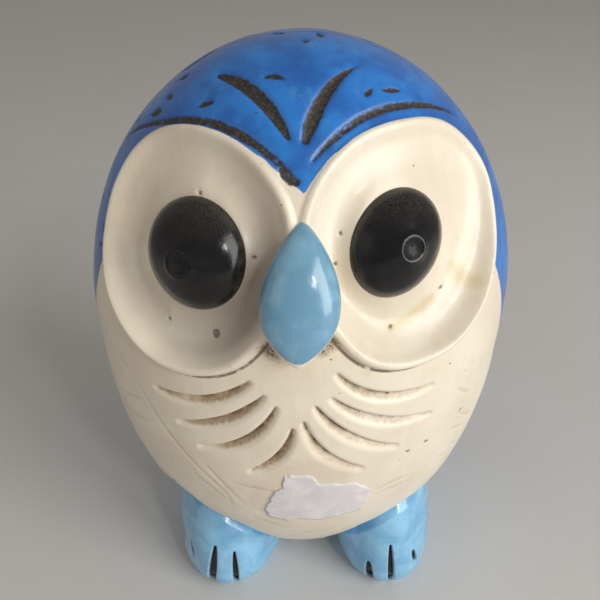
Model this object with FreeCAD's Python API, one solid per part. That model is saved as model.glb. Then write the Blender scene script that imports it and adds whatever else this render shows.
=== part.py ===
import FreeCAD, Part
import math
import os

from FreeCAD import Matrix, Placement, Rotation, Vector

# Owl figurine: a hollow moulded egg in two halves, with eyes, beak, feet and a scrap of label
# set on it. Millimetres and degrees. +Z is up, the owl faces -Y, and the origin is on the
# standing plane below the middle of the body.

# Egg-shaped body. Every level is an ellipse, shallower in front than behind.
HEIGHT = 150.0
HALF_WIDTH = 51.4
FRONT_DEPTH = 40.9
BACK_DEPTH = 49.3
GIRTH_HEIGHT = 87.6
BASE_CLEARANCE = 7.8
CROWN_POWER = 2.04
BELLY_POWER = 2.3
WALL = 6.0
PROFILE_STEP = 10

# Round face dishes, one each side of the nose ridge, with a rounded lip.
DISH_CENTRE = Vector(22.7, -27.4, 110.9)
DISH_AZIMUTH = 28.7
DISH_ELEVATION = 19.3
DISH_RADIUS = 22.9
DISH_SPHERE = 150.0
LIP_RADIUS = 25.3
LIP_THICKNESS = 2.2

# Domed eyes, each with a flat back sunk in its dish and a small ring at the pupil.
EYE_CENTRE = Vector(20.1, -29.5, 113.6)
EYE_AZIMUTH = 23.0
EYE_ELEVATION = 19.3
EYE_RADIUS = 11.2
EYE_DOME = 6.2
EYE_SEAT = 3.6
PUPIL_RADIUS = 2.7
PUPIL_THICKNESS = 0.6

# Beak: a rounded drop, fullest below its middle, whose back is bedded in the wall.
BEAK_TOP = Vector(0.0, -33.0, 122.8)
BEAK_TIP = Vector(0.0, -45.6, 96.6)
BEAK_HALF_WIDTH = 7.9
BEAK_WIDEST = 0.6
BEAK_BED = 3.0

# Feet: domed stumps with toes, flat underneath, that carry the body.
FOOT_X = 22.9
FOOT_Y = 1.0
FOOT_HALF_WIDTH = 15.7
FOOT_HALF_LENGTH = 26.5
FOOT_HEIGHT = 44.0
FOOT_PLAN_POWER = 2.2
FOOT_DOME_POWER = 3.6
FOOT_LEVELS = (0.0, 0.25, 0.5, 0.7, 0.82)
FOOT_PLAN_STEP = 15
FOOT_SPLAY = 4.0
TOE_GAP_OFFSETS = (-6.5, 0.0, 6.5)
TOE_GAP_HALF_WIDTH = 0.9
TOE_GAP_DEPTH = 3.5
TOE_GAP_HEIGHT = 15.0

# Label scrap: a torn paper patch on the belly, as (x, z) corners seen from the front.
LABEL_THICKNESS = 0.4
LABEL_OUTLINE = (
    (-3.5, 60.0),
    (2.5, 60.0),
    (4.5, 56.5),
    (13.0, 55.5),
    (17.0, 51.5),
    (15.0, 43.0),
    (6.0, 40.5),
    (-3.5, 40.5),
    (-8.5, 43.5),
    (-7.0, 49.0),
)

UP = Vector(0.0, 0.0, 1.0)
ORIGIN = Vector(0.0, 0.0, 0.0)


def heading(azimuth, elevation):
    """Unit vector, azimuth measured from straight ahead (-Y) towards +X."""
    level = math.cos(math.radians(elevation))
    return Vector(
        level * math.sin(math.radians(azimuth)),
        -level * math.cos(math.radians(azimuth)),
        math.sin(math.radians(elevation)),
    )


def power_pair(angle, power):
    """Cosine and sine of an angle on a superellipse of that power, signs kept."""
    cosine = math.cos(math.radians(angle))
    sine = math.sin(math.radians(angle))
    exponent = 2.0 / power
    return (
        math.copysign(abs(cosine) ** exponent, cosine),
        math.copysign(abs(sine) ** exponent, sine),
    )


def mirrored(side, point):
    """The point on that side of the owl: side is -1 for its -X half and 1 for its +X half."""
    return Vector(side * point.x, point.y, point.z)


def egg_profile(inset):
    """Half outline of the body in the XZ plane, moved inwards by inset, as a closed face."""
    crown = HEIGHT - GIRTH_HEIGHT - inset
    belly = GIRTH_HEIGHT - BASE_CLEARANCE - inset
    points = []
    for angle in range(-180, 180, PROFILE_STEP):
        below = angle < 0
        out, up = power_pair(angle, BELLY_POWER if below else CROWN_POWER)
        rise = up * (belly if below else crown)
        points.append(Vector((HALF_WIDTH - inset) * out, 0.0, GIRTH_HEIGHT + rise))
    curve = Part.BSplineCurve()
    curve.interpolate(Points=points, PeriodicFlag=True)
    outline = Part.Face(Part.Wire([curve.toShape()]))
    right_side = Part.makeBox(HEIGHT, HEIGHT, 2 * HEIGHT, Vector(0.0, -HEIGHT / 2, -HEIGHT / 2))
    return outline.common(right_side).Faces[0]


def half_egg(inset, depth, towards):
    """Solid front or back half of the body: half a turn of the profile, squeezed along Y."""
    half_turn = egg_profile(inset).revolve(ORIGIN, UP * towards, 180)
    squeeze = Matrix()
    squeeze.scale(1.0, (depth - inset) / (HALF_WIDTH - inset), 1.0)
    return half_turn.transformGeometry(squeeze)


def front_half(inset):
    return half_egg(inset, FRONT_DEPTH, -1)


def back_half(inset):
    return half_egg(inset, BACK_DEPTH, 1)


def dish_cutter(side, extra):
    """Large ball that hollows one face dish; extra makes it bigger, for an even wall."""
    normal = heading(side * DISH_AZIMUTH, DISH_ELEVATION)
    reach = math.sqrt(DISH_SPHERE ** 2 - DISH_RADIUS ** 2)
    return Part.makeSphere(DISH_SPHERE + extra, mirrored(side, DISH_CENTRE) + normal * reach)


def dish_lip(side):
    normal = heading(side * DISH_AZIMUTH, DISH_ELEVATION)
    return Part.makeTorus(LIP_RADIUS, LIP_THICKNESS, mirrored(side, DISH_CENTRE), normal)


def eye(side):
    """Dome on a short round plug, with the pupil ring raised at its highest point."""
    plug = Part.makeCylinder(EYE_RADIUS, EYE_SEAT, Vector(0, 0, -EYE_SEAT))
    ball_radius = (EYE_RADIUS ** 2 + EYE_DOME ** 2) / (2.0 * EYE_DOME)
    ball = Part.makeSphere(ball_radius, Vector(0, 0, EYE_DOME - ball_radius))
    bounds = Part.makeCylinder(EYE_RADIUS, EYE_DOME)
    pupil_drop = ball_radius - math.sqrt(ball_radius ** 2 - PUPIL_RADIUS ** 2)
    ring = Part.makeTorus(PUPIL_RADIUS, PUPIL_THICKNESS, Vector(0, 0, EYE_DOME - pupil_drop))
    solid = plug.fuse(ball.common(bounds)).fuse(ring).removeSplitter()
    turn = Rotation(UP, heading(side * EYE_AZIMUTH, EYE_ELEVATION))
    solid.Placement = Placement(mirrored(side, EYE_CENTRE), turn)
    return solid


def beak():
    """Two half ellipsoids, long above and short below, with the back cut to the bed in the wall."""
    length = (BEAK_TIP - BEAK_TOP).Length
    solids = []
    for reach, low, high in ((BEAK_WIDEST * length, -90, 0), ((1 - BEAK_WIDEST) * length, 0, 90)):
        half_ball = Part.makeSphere(BEAK_HALF_WIDTH, ORIGIN, UP, low, high, 360)
        stretch = Matrix()
        stretch.scale(1.0, 1.0, reach / BEAK_HALF_WIDTH)
        solids.append(half_ball.transformGeometry(stretch))
    drop = solids[0].fuse(solids[1])
    down = BEAK_TIP - BEAK_TOP
    drop.Placement = Placement(BEAK_TOP + down * BEAK_WIDEST, Rotation(UP, down))
    return drop.cut(front_half(BEAK_BED))


def front_shell(eyes, beak_solid):
    """Front half with the face dishes and their lips, hollow, with seats for eyes and beak."""
    shell = front_half(0.0)
    cavity = front_half(WALL)
    for side in (-1, 1):
        shell = shell.cut(dish_cutter(side, 0.0))
        cavity = cavity.cut(dish_cutter(side, WALL))
    for side in (-1, 1):
        shell = shell.fuse(dish_lip(side))
    shell = shell.cut(cavity)
    for piece in eyes + [beak_solid]:
        shell = shell.cut(piece)
    return shell


def back_shell():
    return back_half(0.0).cut(back_half(WALL))


def foot_level(level):
    """Outline of a foot at a share of its height: a superellipse that closes in like a dome."""
    shrink = (1.0 - level ** FOOT_DOME_POWER) ** (1.0 / FOOT_DOME_POWER)
    points = []
    for angle in range(0, 360, FOOT_PLAN_STEP):
        along, across = power_pair(angle, FOOT_PLAN_POWER)
        x = FOOT_HALF_WIDTH * shrink * across
        y = FOOT_HALF_LENGTH * shrink * along
        points.append(Vector(x, y, level * FOOT_HEIGHT))
    curve = Part.BSplineCurve()
    curve.interpolate(Points=points, PeriodicFlag=True)
    return Part.Wire([curve.toShape()])


def toe_gap(offset):
    """Narrow tapered slot between two toes, at that distance from the foot's middle."""
    share = abs(offset) / FOOT_HALF_WIDTH
    front = FOOT_HALF_LENGTH * (1.0 - share ** FOOT_PLAN_POWER) ** (1.0 / FOOT_PLAN_POWER)
    slot = Part.makeSphere(1.0)
    stretch = Matrix()
    stretch.scale(TOE_GAP_HALF_WIDTH, TOE_GAP_DEPTH, TOE_GAP_HEIGHT)
    slot = slot.transformGeometry(stretch)
    slot.translate(Vector(offset, -front, 0.0))
    return slot


def foot(side, body_halves):
    """Domed stump with three toe gaps, fitted to the underside of the body."""
    solid = Part.makeLoft([foot_level(level) for level in FOOT_LEVELS], True)
    for offset in TOE_GAP_OFFSETS:
        solid = solid.cut(toe_gap(offset))
    solid.Placement = Placement(Vector(side * FOOT_X, FOOT_Y, 0.0), Rotation(UP, side * FOOT_SPLAY))
    for half in body_halves:
        solid = solid.cut(half)
    return solid


def label_remnant():
    """Thin patch that follows the belly inside the torn outline."""
    corners = [Vector(x, -2.0 * FRONT_DEPTH, z) for x, z in LABEL_OUTLINE]
    patch = Part.Face(Part.makePolygon(corners + corners[:1]))
    prism = patch.extrude(Vector(0.0, 2.0 * FRONT_DEPTH, 0.0))
    skin = front_half(-LABEL_THICKNESS).cut(front_half(0.0))
    return skin.common(prism)


def build():
    """Every piece of the figurine, by name."""
    eyes = [eye(-1), eye(1)]
    beak_solid = beak()
    body_halves = [front_half(0.0), back_half(0.0)]
    return {
        "front_shell": front_shell(eyes, beak_solid),
        "back_shell": back_shell(),
        "left_eye": eyes[1],
        "right_eye": eyes[0],
        "beak": beak_solid,
        "left_foot": foot(1, body_halves),
        "right_foot": foot(-1, body_halves),
        "label_remnant": label_remnant(),
    }


def main():
    os.makedirs("parts", exist_ok=True)
    for name, shape in build().items():
        box = shape.BoundBox
        print(name, len(shape.Solids), shape.isValid(), round(shape.Volume), box)
        shape.exportStep("parts/" + name + ".step")


main()
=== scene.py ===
import math

import bpy
import numpy as np
from mathutils import Matrix, Vector


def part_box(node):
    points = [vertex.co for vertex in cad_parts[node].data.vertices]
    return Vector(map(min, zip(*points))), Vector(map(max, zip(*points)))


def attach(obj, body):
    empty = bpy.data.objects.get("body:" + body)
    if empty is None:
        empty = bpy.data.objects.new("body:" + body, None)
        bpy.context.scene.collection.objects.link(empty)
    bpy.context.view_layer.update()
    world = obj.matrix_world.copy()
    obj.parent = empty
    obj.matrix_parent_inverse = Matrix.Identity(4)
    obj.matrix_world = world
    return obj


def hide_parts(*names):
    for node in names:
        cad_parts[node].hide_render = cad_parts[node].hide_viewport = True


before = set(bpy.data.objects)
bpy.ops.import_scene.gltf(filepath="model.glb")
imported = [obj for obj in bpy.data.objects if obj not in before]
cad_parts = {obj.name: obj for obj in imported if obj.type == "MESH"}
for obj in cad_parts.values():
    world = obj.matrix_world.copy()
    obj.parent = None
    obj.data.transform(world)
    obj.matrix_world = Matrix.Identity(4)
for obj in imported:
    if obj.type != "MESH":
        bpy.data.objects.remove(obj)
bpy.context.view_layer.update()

# The owl faces -Y with +Z up. Shapes are worked out in millimetres and written in metres.
MM = 0.001
BACK_LOW, BACK_HIGH = (np.array(corner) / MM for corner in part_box("back_shell"))
SEED = 7
# Gap in mm given to places that have no mark near them.
FAR = 60.0

# Body: every level is an ellipse, shallower in front than behind.
HEIGHT = BACK_HIGH[2]
HALF_WIDTH = BACK_HIGH[0]
BACK_DEPTH = BACK_HIGH[1]
BASE_CLEARANCE = BACK_LOW[2]
FRONT_DEPTH = 40.9
GIRTH_HEIGHT = 87.6
CROWN_POWER = 2.04
BELLY_POWER = 2.3
INNER_DEPTH = 14.0
LEAN = math.tan(math.radians(1.1))
BODY_GRID = 168
INNER_RINGS = 12
SEAM_CLEARANCE = 0.01
CORE = np.array([0.0, 0.0, GIRTH_HEIGHT])

# Face dishes, each measured in its own plane. side -1 is the owl's right, +1 its left.
DISH_AZIMUTH = 28.7
DISH_ELEVATION = 19.3
DISH_X = 22.9
DISH_Y = -26.65
DISH_Z = {-1: 112.0, 1: 112.9}
# Distance from centre to edge every 30 degrees: outward, over the top, nose, under, outward.
DISH_EDGE = {
    -1: (21.5, 24.0, 25.5, 24.5, 25.0, 26.0, 25.0, 25.0, 26.0, 24.5, 22.0, 21.0),
    1: (22.0, 26.0, 26.0, 24.0, 25.0, 26.0, 25.0, 24.5, 26.0, 24.5, 22.0, 20.5),
}
LIP_HEIGHT = 0.5
LIP_EXTRA = 1.3
LIP_PROUDEST = 285.0
LIP_ROUNDING = 1.8
LIP_CREST = 1.7
LIP_BEAD = 0.85
TROUGH_DEPTH = 2.7
TROUGH_SKEW = 0.62
TROUGH_SKEW_BY_NOSE = 1.1
TROUGH_FULL_ROOM = 10.0
TROUGH_SHARE = 0.62
TROUGH_LESS_ABOVE = 0.42
TROUGH_MORE_BY_NOSE = 0.2
MOUND_LESS_BY_NOSE = 0.45
DISH_FLARE = 0.8
# Darker paint inside the dishes: dust and painted shade low in each dish, and painted shade on the nose
# side of the owl's right dish.
DUST_AND_SHADE_BELOW = {-1: 0.40, 1: 0.10}
PAINTED_SHADE_BY_NOSE = {-1: 0.75, 1: 0.0}
MOUND_HEIGHT = 1.6

# Eyes: oval domes. side: (x, y, z, long half axis, short half axis, pupil drop below the centre)
EYE_AZIMUTH = 23.0
EYE_ELEVATION = 19.3
EYE_TILT = 53.0
EYES = {
    -1: (-20.6, -29.3, 113.4, 11.8, 10.95, 1.3),
    1: (19.5, -29.3, 114.9, 11.4, 9.9, 0.5),
}
EYE_DOME = 6.2
EYE_SINK = 3.0
PUPIL_RADIUS = 2.6
PUPIL_RING = 0.24
PUPIL_RING_WIDTH = 0.65
PUPIL_BOSS_HEIGHT = 1.5
PUPIL_BOSS_WIDTH = 4.4
PUPIL_DIMPLE_DEPTH = 1.1
PUPIL_DIMPLE_WIDTH = 1.9

# Beak: leaf-shaped from above, bulging, standing proud at its tip.
BEAK_TOP = np.array([0.9, -34.3, 122.4])
BEAK_TIP = np.array([0.0, -46.4, 96.6])
BEAK_HALF_WIDTH = 7.95
BEAK_WIDEST = 0.58
BEAK_BULGE = 5.0

# Feet.
FOOT_X = {-1: -23.0, 1: 23.3}
FOOT_Y = 0.6
FOOT_HALF_WIDTH = {-1: 16.2, 1: 15.1}
FOOT_HALF_LENGTH = 28.6
FOOT_HEIGHT = 41.0
FOOT_PLAN_POWER = 2.1
FOOT_DOME_POWER = 2.5
FOOT_SIDE_POWER = 2.6
FOOT_TOP_LEVEL = 0.985
FOOT_EDGE_ROUNDING = 1.0
TOE_ROUNDING = 2.8
ANKLE_BLEND = 6.0
# Toe cuts seen from the front: lower end and upper end as (x from the foot's middle, z), half width.
TOE_CUTS = {
    -1: (
        ((-5.2, 0.5), (-2.4, 18.5), 1.0),
        ((2.7, 0.5), (2.9, 16.5), 0.75),
        ((-9.8, 10.0), (-10.3, 15.0), 0.4),
    ),
    1: (
        ((-5.0, 0.5), (-5.5, 11.0), 0.95),
        ((1.2, 0.5), (0.4, 18.5), 0.75),
        ((8.4, 8.0), (7.3, 13.5), 0.4),
    ),
}
TOE_CUT_DEPTH = 2.0
TOE_CUT_SLOPE = 0.7
TOE_SWELL = 0.35
TOE_SWELL_WIDTH = 1.6


def heading(azimuth, elevation):
    """Unit vector, azimuth measured from straight ahead (-Y) towards +X, in degrees."""
    around, above = math.radians(azimuth), math.radians(elevation)
    level = math.cos(above)
    return np.array([level * math.sin(around), -level * math.cos(around), math.sin(above)])


def unit(vectors):
    return vectors / np.linalg.norm(vectors, axis=-1, keepdims=True)


def smooth_step(value):
    clipped = np.clip(value, 0.0, 1.0)
    return clipped * clipped * (3.0 - 2.0 * clipped)


def fade(value, start, end):
    """0 up to start, 1 from end on, smooth between."""
    return smooth_step((value - start) / (end - start))


def smooth_min(first, second, blend):
    overlap = np.maximum(blend - np.abs(first - second), 0.0) / blend
    return np.minimum(first, second) - overlap * overlap * blend / 4.0


def smooth_max(first, second, blend):
    return -smooth_min(-first, -second, blend)


def waves(points, count, longest, shortest, seed):
    """Soft random unevenness in about -1..1: a sum of plane waves of assorted lengths in mm."""
    draw = np.random.default_rng(seed)
    total = np.zeros(len(points))
    for _ in range(count):
        length = math.exp(draw.uniform(math.log(shortest), math.log(longest)))
        direction = unit(draw.normal(size=3))
        total += np.sin(points @ direction * (2.0 * math.pi / length) + draw.uniform(0, 2 * math.pi))
    return total / math.sqrt(count)


def egg_radius(direction):
    """Distance from CORE to the plain egg surface along each unit direction."""
    depth = np.where(direction[:, 1] < 0.0, FRONT_DEPTH, BACK_DEPTH)
    level = np.hypot(direction[:, 0] / HALF_WIDTH, direction[:, 1] / depth)
    above = direction[:, 2] >= 0.0
    tall = np.where(above, HEIGHT - GIRTH_HEIGHT, GIRTH_HEIGHT - BASE_CLEARANCE)
    power = np.where(above, CROWN_POWER, BELLY_POWER)
    return (level ** power + np.abs(direction[:, 2] / tall) ** power) ** (-1.0 / power)


def on_egg(direction):
    return CORE + direction * egg_radius(direction)[:, None]


def egg_at(coordinates, seen_from):
    """Points of the plain egg under (x, z) seen from the front or (x, y) seen from above."""
    flat = np.asarray(coordinates, float)
    points = np.zeros((len(flat), 3))
    points[:, 0] = flat[:, 0]
    if seen_from == "above":
        points[:, 1] = flat[:, 1]
        points[:, 2] = HEIGHT
    else:
        points[:, 1] = -FRONT_DEPTH
        points[:, 2] = flat[:, 1]
    free = 2 if seen_from == "above" else 1
    for _ in range(40):
        radius = np.linalg.norm(points - CORE, axis=1)
        stretch = egg_radius((points - CORE) / radius[:, None]) / radius
        points[:, free] = CORE[free] + (points[:, free] - CORE[free]) * stretch ** 1.5
    return points


def leaned(points):
    """The head leans a little towards the owl's left."""
    moved = np.array(points, float)
    moved[:, 0] += LEAN * (moved[:, 2] - GIRTH_HEIGHT)
    return moved


class Plane:
    """A plane through a centre with outward and upward axes, seen from CORE along rays."""

    def __init__(self, side, centre, azimuth, elevation):
        self.centre = np.array(centre, float)
        self.normal = heading(side * azimuth, elevation)
        self.out = side * unit(np.cross([0.0, 0.0, 1.0], self.normal))
        self.up = unit(np.cross(self.normal, unit(np.cross([0.0, 0.0, 1.0], self.normal))))

    def reach(self, direction):
        """Distance from CORE to the plane; directions that run away from it get a large one."""
        towards = direction @ self.normal
        distance = ((self.centre - CORE) @ self.normal) / np.maximum(towards, 0.25)
        return distance

    def coordinates(self, direction):
        offset = CORE + direction * self.reach(direction)[:, None] - self.centre
        return offset @ self.out, offset @ self.up

    def point(self, outward, upward, height=0.0):
        return (
            self.centre
            + np.multiply.outer(outward, self.out)
            + np.multiply.outer(upward, self.up)
            + np.multiply.outer(height, self.normal)
        )


DISHES = {
    side: Plane(side, (side * DISH_X, DISH_Y, DISH_Z[side]), DISH_AZIMUTH, DISH_ELEVATION)
    for side in (-1, 1)
}
EYE_PLANES = {side: Plane(side, EYES[side][:3], EYE_AZIMUTH, EYE_ELEVATION) for side in (-1, 1)}


def dish_edge(side, angle):
    """Distance from a dish's centre to its edge, smooth all the way round."""
    reach = np.array(DISH_EDGE[side] * 3)
    steps = 12
    line = smooth_line(reach[:, None], steps)[:, 0]
    place = (np.degrees(angle) % 360.0 + 360.0) / 30.0 * steps
    return np.interp(place, np.arange(len(line)), line)


def dish_polar(side, direction):
    """Distance and angle from a dish's centre, in the plane of the dish."""
    outward, upward = DISHES[side].coordinates(direction)
    return np.hypot(outward, upward), np.arctan2(upward, outward)


def dish_gap(side, direction):
    """Distance outside a dish's edge in mm, negative inside."""
    distance, angle = dish_polar(side, direction)
    behind = direction @ DISHES[side].normal < 0.3
    return np.where(behind, 60.0, distance - dish_edge(side, angle))


def eye_gap(side, direction):
    """Distance outside an eye's outline in mm, negative inside."""
    outward, upward = EYE_PLANES[side].coordinates(direction)
    tilt = math.radians(EYE_TILT)
    along = outward * math.cos(tilt) + upward * math.sin(tilt)
    across = -outward * math.sin(tilt) + upward * math.cos(tilt)
    long_axis, short_axis = EYES[side][3:5]
    share = np.hypot(along / long_axis, across / short_axis)
    return (share - 1.0) * (long_axis + short_axis) / 2.0


def lip_height(angle):
    """How far the lip of a dish stands proud of the body; most below and at the cheeks."""
    return LIP_HEIGHT + LIP_EXTRA * np.maximum(np.cos(angle - math.radians(LIP_PROUDEST)), 0.0)


def dish_surface(side, direction):
    """Distance from CORE to the dish: a trough between its lip and the mound under the eye."""
    plane = DISHES[side]
    distance, angle = dish_polar(side, direction)
    edge = dish_edge(side, angle)
    share = distance / edge
    rim = plane.point(edge * np.cos(angle), edge * np.sin(angle)) - CORE
    rim_distance = np.linalg.norm(rim, axis=1)
    rim_rise = egg_radius(rim / rim_distance[:, None]) - rim_distance + lip_height(angle)
    inside = np.maximum(edge - distance - LIP_CREST, 0.0)
    outside = np.maximum(distance - edge + LIP_CREST, 0.0)
    eye = np.maximum(eye_gap(side, direction), 0.0)
    room = inside + eye + 1e-6
    climb = inside / room
    towards_nose = np.maximum(-np.cos(angle - 0.2), 0.0)
    around = TROUGH_SHARE - TROUGH_LESS_ABOVE * np.sin(angle) + TROUGH_MORE_BY_NOSE * towards_nose
    deep = TROUGH_DEPTH * np.minimum(room / TROUGH_FULL_ROOM, 1.0) * around
    trough = -deep * np.sin(math.pi * climb ** (TROUGH_SKEW + TROUGH_SKEW_BY_NOSE * towards_nose))
    mound = MOUND_HEIGHT * smooth_step(climb) ** 2 * (1.0 - MOUND_LESS_BY_NOSE * towards_nose)
    flare = DISH_FLARE * outside
    return plane.reach(direction) + rim_rise * np.minimum(share, 1.2) ** 2 + trough + mound + flare


# Tip of the blue V between the dishes, (x, z) from the front, and how steeply each arm rises.
VEE_TIP = (1.2, 127.3)
VEE_RISE = {-1: 0.70, 1: 1.04}
VEE_REACH = {-1: 9.0, 1: 6.0}
# The cream chest: its top, and its side edge, which is at CHEST_SIDE_Y at one height and
# comes forward above it.
CHEST_TOP = 111.0
CHEST_SIDE_Y = -12.0
CHEST_SIDE_HEIGHT = 83.0
CHEST_SIDE_SLOPE = 0.3
CHEST_BACKMOST_Y = -2.0


def cream_gap(direction, points):
    """Distance outside the cream paint in mm, negative inside: dishes, nose ridge and chest."""
    dishes = np.minimum(dish_gap(-1, direction), dish_gap(1, direction))
    across = points[:, 0] - VEE_TIP[0]
    arms = [points[:, 2] - VEE_TIP[1] - VEE_RISE[side] * side * across for side in (-1, 1)]
    nose = np.minimum(arms[0], arms[1]) / 1.7
    nose = smooth_max(nose, np.maximum(across - VEE_REACH[1], -across - VEE_REACH[-1]), 2.0)
    nose = np.maximum(nose, points[:, 1])
    rise = points[:, 2] - CHEST_SIDE_HEIGHT + points[:, 0] / 10.0
    side_line = np.minimum(CHEST_SIDE_Y - CHEST_SIDE_SLOPE * rise, CHEST_BACKMOST_Y)
    chest = smooth_max(points[:, 1] - side_line, points[:, 2] - CHEST_TOP, 3.0)
    return smooth_min(smooth_min(dishes, nose, 1.5), chest, 2.0)


# Strokes carved in the surface. Two places are the ends of a straight one, three are the start,
# middle and end of an arc, and more lie along a bend that changes. Those listed up to WIDE_NICKS
# are (x, y) seen from above and the rest (x, z) seen from the front.
BROWS = (
    ((-16.5, -11.5), (-9.5, -17.5), (-1.5, -26.5)),
    ((1.5, -26.5), (5.0, -20.0), (12.0, -12.0)),
)
BORDERS = (
    ((0.0, -31.0), (-6.0, -27.5), (-16.0, -21.5), (-28.0, -14.0), (-37.5, -5.5)),
    ((33.0, -8.5), (23.0, -15.5), (12.0, -22.5), (2.5, -29.0)),
)
SMUDGES = (((0.5, -31.0), (-1.5, -30.5), (-3.5, -29.0)),)
NICKS = (
    ((-20.0, -16.5), (-16.5, -17.5)),
    ((-27.5, -8.0), (-26.0, -10.0)),
    ((-25.0, -5.0), (-23.0, -6.0)),
    ((-7.0, -16.0), (-4.5, -16.0), (-2.5, -17.0)),
    ((13.0, -18.5), (14.5, -16.5)),
    ((16.5, -16.0), (20.5, -14.0)),
    ((-5.5, 1.5), (-3.0, -1.0)),
    ((4.0, -1.0), (5.0, -4.0)),
    ((-12.5, 5.0), (-9.0, 4.0)),
    ((14.0, 3.5), (15.5, 5.0)),
    ((1.0, -6.0), (2.0, -6.5)),
)
WIDE_NICKS = (
    ((-25.0, -0.5), (-21.5, 0.0), (-18.0, 1.5)),
    ((-31.0, -9.0), (-28.5, -11.0)),
)
CRESCENTS = (
    ((-32.5, 81.0), (-20.5, 82.0), (-10.5, 88.5)),
    ((-27.5, 73.0), (-16.5, 77.0), (-7.5, 85.0)),
    ((-23.0, 66.5), (-12.0, 71.5), (-5.0, 82.0)),
    ((-11.5, 61.0), (-4.5, 67.0), (-1.5, 75.5)),
    ((8.0, 90.5), (17.5, 83.0), (29.5, 82.0)),
    ((7.0, 84.0), (17.5, 76.0), (30.0, 73.0)),
    ((3.5, 82.0), (11.5, 72.0), (22.5, 66.0)),
    ((1.0, 77.5), (5.5, 67.5), (14.5, 61.0)),
)
SCRATCHES = (
    ((-37.5, 78.5), (-29.5, 64.5), (-18.5, 50.5), (-17.0, 44.5)),
    ((-44.0, 71.0), (-37.5, 74.0)),
    ((-43.5, 65.0), (-36.5, 67.5)),
    ((-42.5, 84.5), (-39.0, 81.0)),
    ((-22.5, 60.0), (-13.5, 46.0)),
    ((-26.0, 55.0), (-17.0, 45.5)),
    ((-16.5, 55.0), (-5.5, 53.5)),
    ((-12.0, 40.5), (-7.0, 37.0), (-2.0, 35.0)),
    ((-6.0, 33.0), (2.0, 31.0), (9.5, 33.5)),
    ((18.5, 50.0), (22.0, 51.5), (26.0, 51.5)),
    ((37.0, 62.0), (41.0, 59.5)),
    ((35.0, 52.5), (37.5, 51.0)),
    ((20.0, 48.0), (28.0, 48.5)),
    ((36.5, 76.5), (41.0, 71.5)),
    ((38.5, 66.5), (43.0, 61.5)),
    ((37.5, 55.0), (41.0, 52.5)),
)
DIRT_PATCHES = (
    ((-10.0, 99.5), (-7.5, 98.0), (-4.0, 94.5)),
    ((10.5, 100.5), (7.5, 98.5), (4.0, 95.5)),
)
GLUE = (((-7.5, 48.0), (-2.5, 59.0), (8.0, 60.5)),)
STAINS = (
    ((21.5, 97.5), (26.5, 99.5), (31.0, 102.5)),
    ((36.5, 108.0), (38.5, 103.5)),
)
# Painted shadow: a black stroke where the belly meets the owl's right foot, standing for the shade in that
# crease.
ANKLE_CREASE_SHADOWS = (((-16.0, 32.0), (-14.0, 31.0), (-12.0, 28.5)),)
STROKE_STEPS = 24
# Small pits in the chest and the dishes: (x, z, radius) from the front.
PITS = (
    (25.5, 62.0, 0.5), (30.0, 63.0, 0.5), (39.0, 67.0, 0.5), (20.0, 82.0, 0.5), (-19.5, 97.5, 0.9),
    (-31.0, 98.5, 0.4), (-9.5, 116.5, 0.4), (-21.0, 127.5, 0.4), (9.0, 121.0, 0.4), (8.0, 115.0, 0.4),
    (31.5, 117.5, 0.4), (30.0, 113.0, 0.4), (21.5, 98.0, 0.4), (34.0, 104.0, 0.4), (40.5, 98.0, 0.5),
    (-43.0, 113.0, 0.6), (-44.5, 109.0, 0.4),
)


def arc(start, middle, end):
    """Evenly spaced points on the circle through three places in a plane."""
    places = np.array([start, middle, end])
    sides = 2.0 * (places[1:] - places[0])
    squares = (places[1:] ** 2).sum(axis=1) - (places[0] ** 2).sum()
    centre = np.linalg.solve(sides, squares)
    spokes = places - centre
    turns = np.unwrap(np.arctan2(spokes[:, 1], spokes[:, 0]))
    radius = np.linalg.norm(spokes[0])
    angle = np.linspace(turns[0], turns[-1], STROKE_STEPS + 1)
    return centre + radius * np.stack([np.cos(angle), np.sin(angle)], axis=1)


def smooth_line(points, steps):
    """Catmull-Rom curve through the given points."""
    ends = np.vstack([2 * points[0] - points[1], points, 2 * points[-1] - points[-2]])
    line = []
    for i in range(1, len(ends) - 2):
        p0, p1, p2, p3 = ends[i - 1:i + 3]
        for t in np.arange(steps) / steps:
            line.append(
                0.5 * (2 * p1 + (p2 - p0) * t + (2 * p0 - 5 * p1 + 4 * p2 - p3) * t ** 2
                       + (3 * p1 - p0 - 3 * p2 + p3) * t ** 3)
            )
    line.append(points[-1])
    return np.array(line)


def stroke_line(outline):
    """Points along a stroke given by a few places on it."""
    if len(outline) == 3:
        return arc(*outline)
    return smooth_line(np.array(outline), STROKE_STEPS)


def stroke_field(points, line, half_width, taper):
    """Signed distance in mm from a stroke whose half width follows taper along the line."""
    gap = np.full(len(points), FAR)
    near = np.linalg.norm(points - line.mean(axis=0), axis=1)
    reach = np.linalg.norm(line - line.mean(axis=0), axis=1).max() + 8.0
    chosen = np.flatnonzero(near < reach)
    close = points[chosen]
    best = np.full(len(chosen), FAR)
    for i in range(len(line) - 1):
        span = line[i + 1] - line[i]
        share = np.clip((close - line[i]) @ span / (span @ span), 0.0, 1.0)
        distance = np.linalg.norm(close - line[i] - share[:, None] * span, axis=1)
        along = (i + share) / (len(line) - 1)
        best = np.minimum(best, distance - half_width * taper(along))
    gap[chosen] = best
    return gap


def leaf_taper(along):
    """Pointed at both ends."""
    return np.sin(math.pi * np.clip(along, 0.0, 1.0)) ** 0.7


def full_taper(along):
    """Pointed at both ends but nearly full width between."""
    return np.sin(math.pi * np.clip(along, 0.0, 1.0)) ** 0.45


def drop_taper(along):
    """Blunt where the line starts and pointed where it ends."""
    return np.minimum(1.0, 3.5 * along + 0.5) * (1.0 - along ** 2.5)


def even_taper(along):
    return np.ones_like(along)


def cut_taper(along):
    """Almond, narrower towards the end of the line."""
    return 0.25 + 0.75 * np.sin(math.pi * np.clip(0.12 + 0.88 * along, 0.0, 1.0)) ** 0.8


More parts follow.
